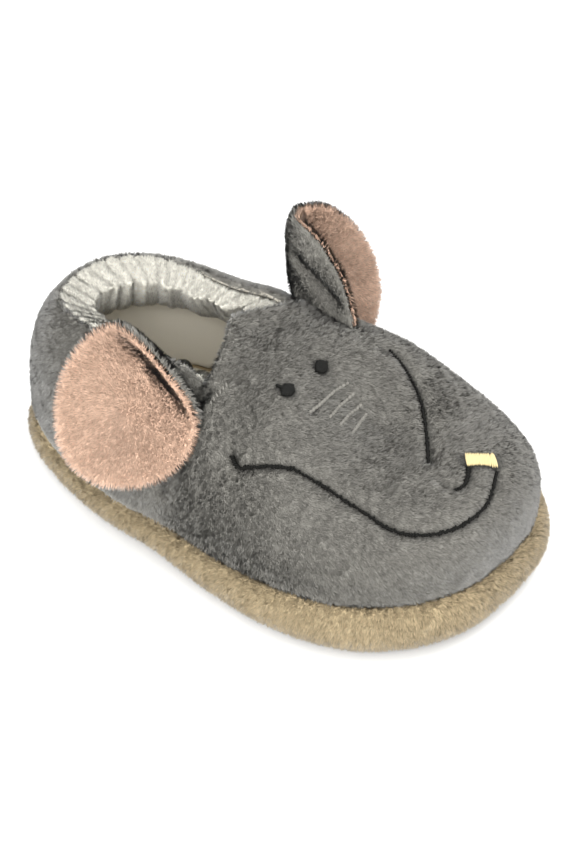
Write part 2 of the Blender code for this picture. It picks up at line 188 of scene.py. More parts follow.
class ThreadSettings(bpy.types.PropertyGroup):
    """Colours and sizes of the embroidery"""

    black: bpy.props.FloatVectorProperty(
        name="Black thread", description="Mouth, trunk and eyes", subtype="COLOR", size=3,
        min=0, max=1, default=(0.006, 0.006, 0.005),
    )
    straw: bpy.props.FloatVectorProperty(
        name="Straw thread", description="Tip of the trunk", subtype="COLOR", size=3,
        min=0, max=1, default=(0.660, 0.540, 0.290),
    )
    width: bpy.props.FloatProperty(
        name="Line width", description="Width of a sewn line", subtype="DISTANCE",
        min=0.0004, max=0.003, default=0.0011,
    )


class StageSettings(bpy.types.PropertyGroup):
    """Floor, light and camera"""

    floor: bpy.props.FloatVectorProperty(
        name="Floor", description="Colour of the floor", subtype="COLOR", size=3,
        min=0, max=1, default=(0.90, 0.90, 0.89),
    )
    daylight: bpy.props.FloatProperty(
        name="Room light", description="Strength of the light all round", min=0, max=5, default=1.45,
    )
    lens: bpy.props.FloatProperty(
        name="Lens", description="Focal length in millimetres", min=20, max=300, default=121.0,
    )


def add_node(tree, kind, values=None, **options):
    """A node with its options set, and its inputs set to values or linked to sockets."""
    made = tree.nodes.new(kind)
    for name, value in options.items():
        setattr(made, name, value)
    for key, value in (values or {}).items():
        if isinstance(value, bpy.types.NodeSocket):
            tree.links.new(value, made.inputs[key])
        else:
            made.inputs[key].default_value = value
    return made


def maths(tree, operation, *values):
    """A Math node's result."""
    return add_node(tree, "ShaderNodeMath", dict(enumerate(values)), operation=operation).outputs[0]


def vector_maths(tree, operation, *values, scale=None):
    """A Vector Math node's result."""
    inputs = dict(enumerate(values))
    if scale is not None:
        inputs["Scale"] = scale
    return add_node(tree, "ShaderNodeVectorMath", inputs, operation=operation).outputs[0]


def new_tree(name, kind, inputs, outputs):
    """A node tree with named sockets, its input node's outputs and its output node."""
    tree = bpy.data.node_groups.new(name, kind)
    for title, socket_type, default in inputs:
        socket = tree.interface.new_socket(title, in_out="INPUT", socket_type=socket_type)
        if default is not None:
            socket.default_value = default
    for title, socket_type in outputs:
        tree.interface.new_socket(title, in_out="OUTPUT", socket_type=socket_type)
    given = tree.nodes.new("NodeGroupInput").outputs
    return tree, given, tree.nodes.new("NodeGroupOutput")


def set_inputs(modifier, values):
    """Sets a Geometry Nodes modifier's inputs by their sockets' identifiers."""
    for item in modifier.node_group.interface.items_tree:
        if item.item_type == "SOCKET" and item.in_out == "INPUT" and item.name in values:
            modifier[item.identifier] = values[item.name]


def blade_mesh(tree):
    """One fibre: a triangle a metre long and wide, with its root and tip marked."""
    circle = add_node(tree, "GeometryNodeMeshCircle", {"Vertices": 3}, fill_type="NGON")
    index = add_node(tree, "GeometryNodeInputIndex").outputs[0]
    is_tip = add_node(
        tree, "FunctionNodeCompare", {2: index, 3: 0}, data_type="INT", operation="EQUAL"
    ).outputs[0]
    is_left = add_node(
        tree, "FunctionNodeCompare", {2: index, 3: 1}, data_type="INT", operation="EQUAL"
    ).outputs[0]
    side = maths(tree, "SUBTRACT", maths(tree, "MULTIPLY", is_left, 1.0), 0.5)
    centred = maths(tree, "MULTIPLY", side, maths(tree, "SUBTRACT", 1.0, is_tip))
    place = add_node(tree, "ShaderNodeCombineXYZ", {"X": centred, "Y": 0.0, "Z": is_tip}).outputs[0]
    shaped = add_node(
        tree, "GeometryNodeSetPosition", {"Geometry": circle.outputs[0], "Position": place}
    ).outputs[0]
    return add_node(
        tree, "GeometryNodeStoreNamedAttribute",
        {"Geometry": shaped, "Name": "along", "Value": is_tip}, data_type="FLOAT", domain="POINT",
    ).outputs[0]


def fibre_direction(tree, given, normal):
    """Where a fibre points: up from the cloth, leaned by the nap, drawn into its tuft."""
    nap = add_node(
        tree, "GeometryNodeInputNamedAttribute", {"Name": "nap"}, data_type="FLOAT_VECTOR"
    ).outputs[0]
    position = add_node(tree, "GeometryNodeInputPosition").outputs[0]
    wobble = add_node(
        tree, "ShaderNodeTexNoise", {"Vector": position, "Scale": 260.0, "Detail": 2.0}
    ).outputs["Color"]
    centred = vector_maths(tree, "SUBTRACT", wobble, (0.5, 0.5, 0.5))
    tuft = add_node(
        tree, "ShaderNodeTexVoronoi",
        {"Vector": position, "Scale": maths(tree, "DIVIDE", 1.0, given["Tuft Size"])},
    ).outputs["Position"]
    inward = vector_maths(tree, "SUBTRACT", tuft, position)
    pull = vector_maths(
        tree, "SCALE", inward, scale=maths(tree, "DIVIDE", given["Tuft Pull"], given["Length"])
    )
    stray = add_node(
        tree, "FunctionNodeRandomValue",
        {0: (-1.0, -1.0, -1.0), 1: (1.0, 1.0, 1.0), "Seed": given["Seed"]}, data_type="FLOAT_VECTOR",
    ).outputs[0]
    parts = (
        vector_maths(tree, "SCALE", nap, scale=given["Lean"]),
        vector_maths(tree, "SCALE", centred, scale=given["Wobble"]),
        pull,
        vector_maths(tree, "SCALE", stray, scale=given["Stray"]),
    )
    total = normal
    for part in parts:
        total = vector_maths(tree, "ADD", total, part)
    return vector_maths(tree, "NORMALIZE", total)


def pile_tree():
    """Geometry Nodes that grow short plush fibres out of a cloth's surface."""
    tree, given, out = new_tree(
        "plush_pile", "GeometryNodeTree",
        (
            ("Cloth", "NodeSocketGeometry", None),
            ("Density", "NodeSocketFloat", 2.0e7),
            ("Length", "NodeSocketFloat", 0.0018),
            ("Width", "NodeSocketFloat", 0.00026),
            ("Lean", "NodeSocketFloat", 0.8),
            ("Wobble", "NodeSocketFloat", 1.6),
            ("Tuft Size", "NodeSocketFloat", 0.0022),
            ("Tuft Pull", "NodeSocketFloat", 0.8),
            ("Stray", "NodeSocketFloat", 0.25),
            ("Seed", "NodeSocketInt", 1),
            ("Finish", "NodeSocketMaterial", None),
        ),
        (("Pile", "NodeSocketGeometry"),),
    )
    mask = add_node(tree, "GeometryNodeInputNamedAttribute", {"Name": "pile"}, data_type="FLOAT").outputs[0]
    spread = add_node(
        tree, "GeometryNodeDistributePointsOnFaces",
        {
            "Mesh": given["Cloth"],
            "Density": maths(tree, "MULTIPLY", given["Density"], mask),
            "Seed": given["Seed"],
        },
    )
    tone = add_node(
        tree, "FunctionNodeRandomValue", {2: 0.0, 3: 1.0, "Seed": given["Seed"]}, data_type="FLOAT"
    ).outputs[1]
    toned = add_node(
        tree, "GeometryNodeStoreNamedAttribute",
        {"Geometry": spread.outputs["Points"], "Name": "tone", "Value": tone},
        data_type="FLOAT", domain="POINT",
    ).outputs[0]
    direction = fibre_direction(tree, given, spread.outputs["Normal"])
    lit = vector_maths(
        tree, "ADD", spread.outputs["Normal"], vector_maths(tree, "SCALE", direction, scale=0.9)
    )
    soft = add_node(
        tree, "GeometryNodeStoreNamedAttribute", {"Geometry": toned, "Name": "soft_normal", "Value": lit},
        data_type="FLOAT_VECTOR", domain="POINT",
    ).outputs[0]
    upright = add_node(
        tree, "FunctionNodeAlignRotationToVector", {"Vector": direction}, axis="Z"
    ).outputs[0]
    facing = add_node(
        tree, "FunctionNodeAlignRotationToVector", {"Rotation": upright, "Vector": spread.outputs["Normal"]},
        axis="Y", pivot_axis="Z",
    ).outputs[0]
    spin = add_node(
        tree, "FunctionNodeRandomValue", {2: -0.7, 3: 0.7, "Seed": given["Seed"]}, data_type="FLOAT"
    ).outputs[1]
    turn = add_node(
        tree, "FunctionNodeAxisAngleToRotation", {"Axis": (0.0, 0.0, 1.0), "Angle": spin}
    ).outputs[0]
    turned = add_node(
        tree, "FunctionNodeRotateRotation", {"Rotation": facing, "Rotate By": turn}, rotation_space="LOCAL"
    ).outputs[0]
    height = add_node(
        tree, "GeometryNodeInputNamedAttribute", {"Name": "height"}, data_type="FLOAT"
    ).outputs[0]
    uneven = add_node(
        tree, "FunctionNodeRandomValue", {2: 0.7, 3: 1.1, "Seed": given["Seed"]}, data_type="FLOAT"
    ).outputs[1]
    length = maths(tree, "MULTIPLY", maths(tree, "MULTIPLY", given["Length"], height), uneven)
    size = add_node(
        tree, "ShaderNodeCombineXYZ", {"X": given["Width"], "Y": given["Width"], "Z": length}
    ).outputs[0]
    blades = add_node(
        tree, "GeometryNodeInstanceOnPoints",
        {"Points": soft, "Instance": blade_mesh(tree), "Rotation": turned, "Scale": size},
    ).outputs[0]
    real = add_node(tree, "GeometryNodeRealizeInstances", {"Geometry": blades}).outputs[0]
    finished = add_node(
        tree, "GeometryNodeSetMaterial", {"Geometry": real, "Material": given["Finish"]}
    ).outputs[0]
    tree.links.new(finished, out.inputs[0])
    return tree


def stitch_tree():
    """Geometry Nodes that lay stitches along a path, each as long as the path's span there."""
    tree, given, out = new_tree(
        "stitches", "GeometryNodeTree",
        (
            ("Path", "NodeSocketGeometry", None),
            ("Spacing", "NodeSocketFloat", 0.0004),
            ("Thickness", "NodeSocketFloat", 0.0005),
            ("Turn", "NodeSocketFloat", 1.2),
            ("Uneven", "NodeSocketFloat", 0.08),
            ("Seed", "NodeSocketInt", 1),
            ("Finish", "NodeSocketMaterial", None),
        ),
        (("Stitches", "NodeSocketGeometry"),),
    )
    curve = add_node(tree, "GeometryNodeMeshToCurve", {"Mesh": given["Path"]}).outputs[0]
    even = add_node(
        tree, "GeometryNodeResampleCurve", {"Curve": curve, "Length": given["Spacing"]}, mode="LENGTH"
    ).outputs[0]
    up = add_node(
        tree, "GeometryNodeInputNamedAttribute", {"Name": "up"}, data_type="FLOAT_VECTOR"
    ).outputs[0]
    span = add_node(tree, "GeometryNodeInputNamedAttribute", {"Name": "span"}, data_type="FLOAT").outputs[0]
    tangent = add_node(tree, "GeometryNodeInputTangent").outputs[0]
    raised = add_node(tree, "FunctionNodeAlignRotationToVector", {"Vector": up}, axis="Z").outputs[0]
    ahead = add_node(
        tree, "FunctionNodeAlignRotationToVector", {"Rotation": raised, "Vector": tangent},
        axis="X", pivot_axis="Z",
    ).outputs[0]
    jitter = add_node(
        tree, "FunctionNodeRandomValue",
        {2: maths(tree, "MULTIPLY", given["Uneven"], -1.0), 3: given["Uneven"], "Seed": given["Seed"]},
        data_type="FLOAT",
    ).outputs[1]
    turn = add_node(
        tree, "FunctionNodeAxisAngleToRotation",
        {"Axis": (0.0, 0.0, 1.0), "Angle": maths(tree, "ADD", given["Turn"], jitter)},
    ).outputs[0]
    turned = add_node(
        tree, "FunctionNodeRotateRotation", {"Rotation": ahead, "Rotate By": turn}, rotation_space="LOCAL"
    ).outputs[0]
    bead = add_node(
        tree, "GeometryNodeMeshUVSphere", {"Segments": 8, "Rings": 6, "Radius": 0.5}
    ).outputs[0]
    smooth = add_node(tree, "GeometryNodeSetShadeSmooth", {"Geometry": bead}).outputs[0]
    size = add_node(
        tree, "ShaderNodeCombineXYZ",
        {"X": maths(tree, "MULTIPLY", span, maths(tree, "ADD", 1.0, jitter)),
         "Y": given["Thickness"], "Z": given["Thickness"]},
    ).outputs[0]
    laid = add_node(
        tree, "GeometryNodeInstanceOnPoints",
        {"Points": even, "Instance": smooth, "Rotation": turned, "Scale": size},
    ).outputs[0]
    real = add_node(tree, "GeometryNodeRealizeInstances", {"Geometry": laid}).outputs[0]
    finished = add_node(
        tree, "GeometryNodeSetMaterial", {"Geometry": real, "Material": given["Finish"]}
    ).outputs[0]
    tree.links.new(finished, out.inputs[0])
    return tree


def mottle_group():
    """A colour that drifts a little, in broad patches and in fine specks."""
    tree, given, out = new_tree(
        "mottle", "ShaderNodeTree",
        (
            ("Color", "NodeSocketColor", None),
            ("Patches", "NodeSocketFloat", 0.12),
            ("Specks", "NodeSocketFloat", 0.10),
        ),
        (("Color", "NodeSocketColor"),),
    )
    place = add_node(tree, "ShaderNodeTexCoord").outputs["Object"]
    broad = add_node(tree, "ShaderNodeTexNoise", {"Vector": place, "Scale": 90.0, "Detail": 3.0}).outputs[0]
    fine = add_node(tree, "ShaderNodeTexNoise", {"Vector": place, "Scale": 900.0, "Detail": 2.0}).outputs[0]
    shift = maths(
        tree, "ADD",
        maths(tree, "MULTIPLY", maths(tree, "SUBTRACT", broad, 0.5), given["Patches"]),
        maths(tree, "MULTIPLY", maths(tree, "SUBTRACT", fine, 0.5), given["Specks"]),
    )
    factor = maths(tree, "ADD", 1.0, maths(tree, "MULTIPLY", shift, 2.0))
    tree.links.new(vector_maths(tree, "SCALE", given["Color"], scale=factor), out.inputs[0])
    return tree


def mottled(tree, colour, patches, specks):
    """The mottling group set to a colour."""
    group = tree.nodes.new("ShaderNodeGroup")
    group.node_tree = bpy.data.node_groups["mottle"]
    group.inputs["Color"].default_value = (*colour, 1.0)
    group.inputs["Patches"].default_value = patches
    group.inputs["Specks"].default_value = specks
    return group


def new_material(name):
    """A new material that uses nodes, and its Principled BSDF."""
    made = bpy.data.materials.new(name)
    made.use_nodes = True
    return made, made.node_tree, made.node_tree.nodes["Principled BSDF"]


def painted_shading_factor(tree):
    """How much of its colour a place keeps under the painted shading: all of it where none is painted, less
    under painted shade, more under painted highlight.
    """
    painted_shading = add_node(tree, "ShaderNodeAttribute", attribute_name="painted_shading").outputs["Fac"]
    return maths(tree, "SUBTRACT", 1.0, painted_shading)


def pile_material(name, tip, shaded_root_share, sheen):
    """Fibres with painted shade towards the root, each a little lighter or darker than the next, and with
    the cloth's painted shade and painted highlight.
    """
    made, tree, shader = new_material(name)
    along = add_node(tree, "ShaderNodeAttribute", attribute_name="along").outputs["Fac"]
    tone = add_node(tree, "ShaderNodeAttribute", attribute_name="tone").outputs["Fac"]
    # The root's colour is the tip's colour with painted shade
    root = [c * shaded_root_share for c in tip]
    blend = add_node(
        tree, "ShaderNodeMix", {0: along, 6: (*root, 1.0), 7: (*tip, 1.0)}, data_type="RGBA"
    ).outputs[2]
    shade = maths(tree, "ADD", maths(tree, "MULTIPLY", tone, 0.5), 0.75)
    # The cloth's painted shade and painted highlight, carried on to each fibre
    toned = vector_maths(tree, "SCALE", blend, scale=maths(tree, "MULTIPLY", shade, painted_shading_factor(tree)))
    group = mottled(tree, tip, 0.16, 0.40)
    tree.links.new(toned, group.inputs["Color"])
    tree.links.new(group.outputs[0], shader.inputs["Base Color"])
    soft = add_node(tree, "ShaderNodeAttribute", attribute_name="soft_normal").outputs["Vector"]
    tree.links.new(vector_maths(tree, "NORMALIZE", soft), shader.inputs["Normal"])
    shader.inputs["Roughness"].default_value = 0.85
    shader.inputs["Specular IOR Level"].default_value = 0.2
    shader.inputs["Sheen Weight"].default_value = sheen
    shader.inputs["Sheen Roughness"].default_value = 0.5
    return made


def cloth_material(name, colour, grain, depth):
    """The cloth under the pile, or a brushed lining: mottled and softly bumped."""
    made, tree, shader = new_material(name)
    group = mottled(tree, colour, 0.12, 0.25)
    # Painted shade and painted highlight carried by the cloth's attribute
    kept = vector_maths(tree, "SCALE", group.outputs[0], scale=painted_shading_factor(tree))
    tree.links.new(kept, shader.inputs["Base Color"])
    place = add_node(tree, "ShaderNodeTexCoord").outputs["Object"]
    fuzz = add_node(tree, "ShaderNodeTexNoise", {"Vector": place, "Scale": grain, "Detail": 4.0}).outputs[0]
    bump = add_node(tree, "ShaderNodeBump", {"Height": fuzz, "Distance": depth, "Strength": 0.8})
    tree.links.new(bump.outputs[0], shader.inputs["Normal"])
    shader.inputs["Roughness"].default_value = 0.9
    shader.inputs["Specular IOR Level"].default_value = 0.2
    shader.inputs["Sheen Weight"].default_value = 0.2
    return made


def thread_material(name, colour, gloss):
    """Twisted embroidery thread with a soft gloss."""
    made, tree, shader = new_material(name)
    tree.links.new(mottled(tree, colour, 0.12, 0.10).outputs[0], shader.inputs["Base Color"])
    shader.inputs["Specular IOR Level"].default_value = 0.12
    place = add_node(tree, "ShaderNodeTexCoord").outputs["Object"]
    twist = add_node(
        tree, "ShaderNodeTexWave", {"Vector": place, "Scale": 2600.0, "Distortion": 2.0},
        bands_direction="DIAGONAL",
    ).outputs["Fac"]
    bump = add_node(tree, "ShaderNodeBump", {"Height": twist, "Distance": 0.00006, "Strength": 0.6})
    tree.links.new(bump.outputs[0], shader.inputs["Normal"])
    shader.inputs["Roughness"].default_value = gloss
    return made


def linked(name, mesh):
    """A new object at the origin, in the scene."""
    made = bpy.data.objects.new(name, mesh)
    bpy.context.scene.collection.objects.link(made)
    return made


def evaluated(piece):
    """The piece's mesh with its modifiers applied, which are then removed."""
    graph = bpy.context.evaluated_depsgraph_get()
    mesh = bpy.data.meshes.new_from_object(
        piece.evaluated_get(graph), preserve_all_data_layers=True, depsgraph=graph
    )
    piece.modifiers.clear()
    old = piece.data
    piece.data = mesh
    mesh.name = piece.name
    bpy.data.meshes.remove(old)
    return piece


def merged_copy(node, name):
    """A copy of a CAD node's loose triangles, merged into one closed mesh."""
    form = bmesh.new()
    form.from_mesh(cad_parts[node].data)
    bmesh.ops.remove_doubles(form, verts=form.verts, dist=1e-6)
    mesh = bpy.data.meshes.new(name)
    form.to_mesh(mesh)
    form.free()
    mesh.materials.clear()
    return linked(name, mesh)


def points_of(mesh):
    """A mesh's points, as an array."""
    points = np.empty(len(mesh.vertices) * 3)
    mesh.vertices.foreach_get("co", points)
    return points.reshape(-1, 3)


def normals_of(mesh):
    """A mesh's point normals, as an array."""
    normals = np.empty(len(mesh.vertices) * 3, np.float32)
    mesh.vertex_normals.foreach_get("vector", normals)
    return normals.reshape(-1, 3).astype(float)


def move_points(mesh, points):
    """Puts a mesh's points where the array says."""
    mesh.vertices.foreach_set("co", points.ravel())
    mesh.update()


def relaxed(mesh, rounds, pull=0.5, push=-0.53):
    """The mesh's points with small bumps smoothed away and its size kept."""
    points = points_of(mesh)
    edges = np.empty(len(mesh.edges) * 2, int)
    mesh.edges.foreach_get("vertices", edges)
    a, b = edges.reshape(-1, 2).T
    count = np.bincount(edges, minlength=len(points))
    for factor in (pull, push) * rounds:
        mean = np.stack(
            [
                np.bincount(a, points[b, i], len(points)) + np.bincount(b, points[a, i], len(points))
                for i in range(3)
            ],
            axis=1,
        ) / count[:, None]
        points = points + factor * (mean - points)
    return points


def ridges(mesh, rounds=12):
    """How far each point stands out of its surroundings: 1 on an edge, below nought in a fold."""
    away = points_of(mesh) - relaxed(mesh, rounds, push=0.5)
    return np.clip(np.sum(away * normals_of(mesh), axis=1) / RIDGE_HEIGHT, -1, 1)


def soft_form(node, name, voxel, rounds):
    """A CAD node's form in fine, even, smoothed faces."""
    piece = merged_copy(node, name)
    even = piece.modifiers.new("even_faces", "REMESH")
    even.mode = "VOXEL"
    even.voxel_size = voxel
    evaluated(piece)
    move_points(piece.data, relaxed(piece.data, rounds))
    piece.data.shade_smooth()
    return piece


def outward(points):
    """Directions away from the middle line of the foot."""
    axis = np.stack(
        [
            np.zeros(len(points)),
            np.clip(points[:, 1], TOE_AXIS_Y, HEEL_AXIS_Y),
            np.full(len(points), AXIS_Z),
        ],
        axis=1,
    )
    away = points - axis
    return away / np.maximum(np.linalg.norm(away, axis=1), 1e-9)[:, None]


def path_samples(path, step=0.4):
    """Points every step millimetres along a path, in metres, and their place along it."""
    points = np.array(path, float)
    lengths = np.linalg.norm(np.diff(points, axis=0), axis=1)
    places = np.concatenate([[0], np.cumsum(lengths)])
    count = max(2, int(places[-1] / step) + 1)
    wanted = np.linspace(0, places[-1], count)
    smooth = np.stack([np.interp(wanted, places, points[:, i]) for i in range(3)], axis=1)
    for _ in range(4):
        smooth[1:-1] = (smooth[:-2] + 2 * smooth[1:-1] + smooth[2:]) / 4
    return smooth * MM


def distance_to(points, path):
    """How far each point is from a path."""
    nearest = np.full(len(points), np.inf)
    for spot in path_samples(path):
        nearest = np.minimum(nearest, np.linalg.norm(points - spot, axis=1))
    return nearest


def lumps(points, size, seed):
    """Smooth random heights from -1 to 1, about size wide."""
    shift = Vector((seed * 7.3, seed * 3.1, seed * 5.7))
    return np.array([noise.noise(Vector(p) / size + shift) for p in points])


def along_surface(direction, normals):
    """A direction laid flat on the surface."""
    flat = np.asarray(direction, float) - normals * np.sum(direction * normals, axis=1)[:, None]
    return flat / np.maximum(np.linalg.norm(flat, axis=1), 0.2)[:, None]


def set_attribute(mesh, name, values):
    """Stores one number or direction for each point."""
    kind, field = ("FLOAT_VECTOR", "vector") if values.ndim == 2 else ("FLOAT", "value")
    layer = mesh.attributes.get(name) or mesh.attributes.new(name, kind, "POINT")
    layer.data.foreach_set(field, values.astype(np.float32).ravel())


def grow_pile(cloth, name, material, mask, nap, height=1.0, **sizes):
    """A piece of plush pile grown on a cloth, where the mask is above nought."""
    mesh = cloth.data.copy()
    mesh.materials.clear()
    set_attribute(mesh, "pile", mask)
    set_attribute(mesh, "nap", nap)
    set_attribute(mesh, "height", np.broadcast_to(height, len(mask)))
    pile = linked(name, mesh)
    modifier = pile.modifiers.new("pile", "NODES")
    modifier.node_group = bpy.data.node_groups["plush_pile"]
    plush = bpy.context.scene.slipper_plush
    values = {"Width": plush.fibre, "Finish": material}
    values.update({key.replace("_", " ").title(): value for key, value in sizes.items()})
    values["Density"] *= plush.density
    set_inputs(modifier, values)
    evaluated(pile)
    for attribute in PILE_ATTRIBUTES:
        if attribute in pile.data.attributes:
            pile.data.attributes.remove(pile.data.attributes[attribute])
    pile.data.shade_flat()
    return pile


def dress(piece, slot, *nodes, fill=None):
    """Fastens a piece to the shoe and hides the CAD nodes that it stands for."""
    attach(piece, "root")
    if nodes:
        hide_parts(*nodes)
    return piece


def surface_tree(piece):
    """A search tree over a piece's faces."""
    mesh = piece.data
    return BVHTree.FromPolygons([v.co for v in mesh.vertices], [tuple(p.vertices) for p in mesh.polygons])


def sew(name, material, surface, rows, lift, **sizes):
    """Lays rows of stitches on a surface. A row is a path in millimetres and its span in metres."""
    points, edges, ups, spans = [], [], [], []
    for path, span in rows:
        spots = path_samples(path)
        first = len(points)
        for k, spot in enumerate(spots):
            place, normal, _, _ = surface.find_nearest(Vector(spot))
            points.append(place + normal * lift)
            ups.append(normal)
            spans.append(span(k / (len(spots) - 1)) if callable(span) else span)
        edges += [(k, k + 1) for k in range(first, len(points) - 1)]
    mesh = bpy.data.meshes.new(name)
    mesh.from_pydata(points, edges, [])
    set_attribute(mesh, "up", np.array(ups, float))
    set_attribute(mesh, "span", np.array(spans, float))
    piece = linked(name, mesh)
    modifier = piece.modifiers.new("stitches", "NODES")
    modifier.node_group = bpy.data.node_groups["stitches"]
    set_inputs(modifier, {"Finish": material, **{k.title(): v for k, v in sizes.items()}})
    evaluated(piece)
    return piece


class SLIPPER_OT_finishes(bpy.types.Operator):
    """Make the plush, lining and thread materials and the node trees that they use"""

    bl_idname = "slipper.finishes"
    bl_label = "Finishes"

    def execute(self, context):
        plush, thread = context.scene.slipper_plush, context.scene.slipper_thread
        mottle_group()
        pile_tree()
        stitch_tree()
        # Each finish's tip colour, the share of it kept at the root as painted shade (the cloth under the
        # pile takes that shaded colour too), and its sheen weight
        for name, colour, root, sheen in (
            ("grey", plush.grey, 0.6, 0.35),
            ("tan", plush.tan, 0.65, 0.2),
            ("cream", plush.cream, 0.97, 0.2),
            ("pink", plush.pink, 0.8, 0.3),
        ):
            pile_material(f"{name}_pile", tuple(colour), root, sheen)
            cloth_material(f"{name}_cloth", tuple(c * root for c in colour), 1500.0, 0.0004)
        cloth_material("cream_lining", tuple(min(0.97, c * 1.1) for c in plush.cream), 1100.0, 0.0006)
        thread_material("black_thread", tuple(thread.black), 0.45)
        thread_material("grey_thread", tuple(c * 0.62 for c in plush.grey), 0.6)
        thread_material("straw_thread", tuple(thread.straw), 0.4)
        return {"FINISHED"}


class SLIPPER_OT_sole(bpy.types.Operator):
    """Make the padded tan sole with its pile"""

    bl_idname = "slipper.sole"
    bl_label = "Sole"

    def execute(self, context):
        cup = soft_form("sole", "sole_cup", SOLE_VOXEL, 3)
        mesh = cup.data
        points, normals = points_of(mesh), normals_of(mesh)
        side = np.clip(points[:, 2] / (3 * MM), 0, 1) * np.clip(1 - np.abs(normals[:, 2]), 0, 1)
        points += normals * (side * 0.35 * MM * lumps(points, 11 * MM, 2))[:, None]
        move_points(mesh, points)
        normals = normals_of(mesh)
        away = np.sum(normals * outward(points), axis=1)
        shown = (away > 0.05) & (points[:, 2] > SOLE_PILE_FROM)
        height = np.clip((points[:, 2] - SOLE_TIPS_FROM) / (1.2 * SOLE_PILE_LENGTH), 0.2, 1.0)
        nap = along_surface(np.array([0.0, 0.0, -1.0]) + 0.35 * normals, normals)
        mesh.materials.append(bpy.data.materials["tan_cloth"])
        pile = grow_pile(
            cup, "sole_pile", bpy.data.materials["tan_pile"], np.where(shown, 1.0, 0.0), nap, height,
            density=2.1e7, length=SOLE_PILE_LENGTH, lean=0.6, wobble=1.1, tuft_size=1.4 * MM,
            tuft_pull=0.6, stray=0.35, seed=11,
        )
        dress(cup, "tan_plush", "sole", fill=0.7)
        dress(pile, "tan_plush")
        return {"FINISHED"}


class SLIPPER_OT_insole(bpy.types.Operator):
    """Make the lined footbed pad"""

    bl_idname = "slipper.insole"
    bl_label = "Footbed"

    def execute(self, context):
        pad = soft_form("insole", "footbed", INSOLE_VOXEL, 2)
        pad.data.materials.append(bpy.data.materials["cream_lining"])
        dress(pad, "cream_lining", "insole", fill=0.5)
        return {"FINISHED"}


def shape_upper(shell):
    """Presses the seams and sewn lines into the upper, and says how far each point faces outwards."""
    mesh = shell.data
    points, normals = points_of(mesh), normals_of(mesh)
    outside = np.sum(normals * outward(points), axis=1)
    cover = np.clip(outside * 4, 0, 1)
    dent = 0.25 * MM * lumps(points, 14 * MM, 1)
    for path, depth, width in GROOVES:
        reach = distance_to(points, path) / (width * MM)
        dent = dent - depth * MM * np.exp(-(reach**2))
    move_points(mesh, points + normals * (cover * dent)[:, None])
    return outside


def sewn_distance(points):
    """How far each point is from the edge of the nearest embroidery."""
    lines = (MOUTH_LINE, SEWN_TRUNK, SEWN_NOSTRIL, *WRINKLES, LASH)
    nearest = np.min([distance_to(points, line) - LINE_CLEARANCE for line in lines], axis=0)
    for eye in EYES:
        away = np.linalg.norm(points - np.array(eye) * MM, axis=1) - EYE_RADIUS * MM
        nearest = np.minimum(nearest, away)
    return np.minimum(nearest, distance_to(points, TIP_BAND) - 0.45 * TIP_BAND_WIDTH * MM)


def swirl_round(points, normals):
    """The turn of the nap round the swirl on the vamp."""
    away = points - np.array(SWIRL) * MM
    near = np.exp(-(np.linalg.norm(away, axis=1) / SWIRL_REACH) ** 2)
    return np.cross(normals, away / (3 * MM)) * (0.6 * near)[:, None]


def upper_nap(points, normals):
    """Which way the upper's pile lies: to the toe on the vamp, down on the heel."""
    toeward = np.array(VAMP_NAP) + swirl_round(points, normals)
    heelward = np.clip((points[:, 1] - QUARTER_Y) / NAP_CHANGE + 0.5, 0, 1)[:, None]
    return along_surface(toeward * (1 - heelward) + np.array(HEEL_NAP) * heelward, normals)


class SLIPPER_OT_upper(bpy.types.Operator):
    """Make the hollow upper: grey plush outside, cream lining inside"""

    bl_idname = "slipper.upper"
    bl_label = "Upper"

    def execute(self, context):
        shell = soft_form("upper", "upper_shell", UPPER_VOXEL, 3)
        outside = shape_upper(shell)
        mesh = shell.data
        points, normals = points_of(mesh), normals_of(mesh)
        mesh.materials.append(bpy.data.materials["grey_cloth"])
        mesh.materials.append(bpy.data.materials["cream_lining"])
        for face in mesh.polygons:
            face.material_index = int(np.mean(outside[list(face.vertices)]) < 0.0)
        shown = np.clip((outside - 0.1) * 6, 0, 1)
        above = np.clip((points[:, 2] - UPPER_PILE_FROM) / UPPER_PILE_RISE, 0, 1)
        near_sewn = sewn_distance(points)
        cleared = np.clip(near_sewn / CLEARING_EDGE, 0, 1)
        height = np.clip(0.45 + near_sewn / CLEARING_RISE, 0.4, 1.0)
        # Painted shadow beside the sewn lines and in the seam, painted shade in folds and painted highlight
        # on ridges, for the cloth and its pile
        sewn_painted_shadow = 0.8 * np.exp(-((np.clip(near_sewn, 0, None) / (0.5 * MM)) ** 2))
        seam_painted_shade = 0.3 * np.exp(-((distance_to(points, QUARTER_SEAM) / (0.9 * MM)) ** 2))
        set_attribute(mesh, "painted_shading", sewn_painted_shadow + seam_painted_shade - 0.3 * ridges(mesh, 6))
        mask = shown * above * cleared
        nap = upper_nap(points, normals)
        vamp = points[:, 1] < QUARTER_Y
        front, back = (
            grow_pile(
                shell, name, bpy.data.materials["grey_pile"], np.where(chosen, mask, 0), nap, height,
                density=2.2e7, length=1.15 * MM, lean=0.8, wobble=1.05, tuft_size=1.3 * MM, tuft_pull=0.5,
                stray=0.4, seed=seed,
            )
            for name, chosen, seed in (("vamp_pile", vamp, 21), ("quarter_pile", ~vamp, 31))
        )
        dress(shell, "grey_plush", "upper")
        for pile in (front, back):
            dress(pile, "grey_plush")
        return {"FINISHED"}


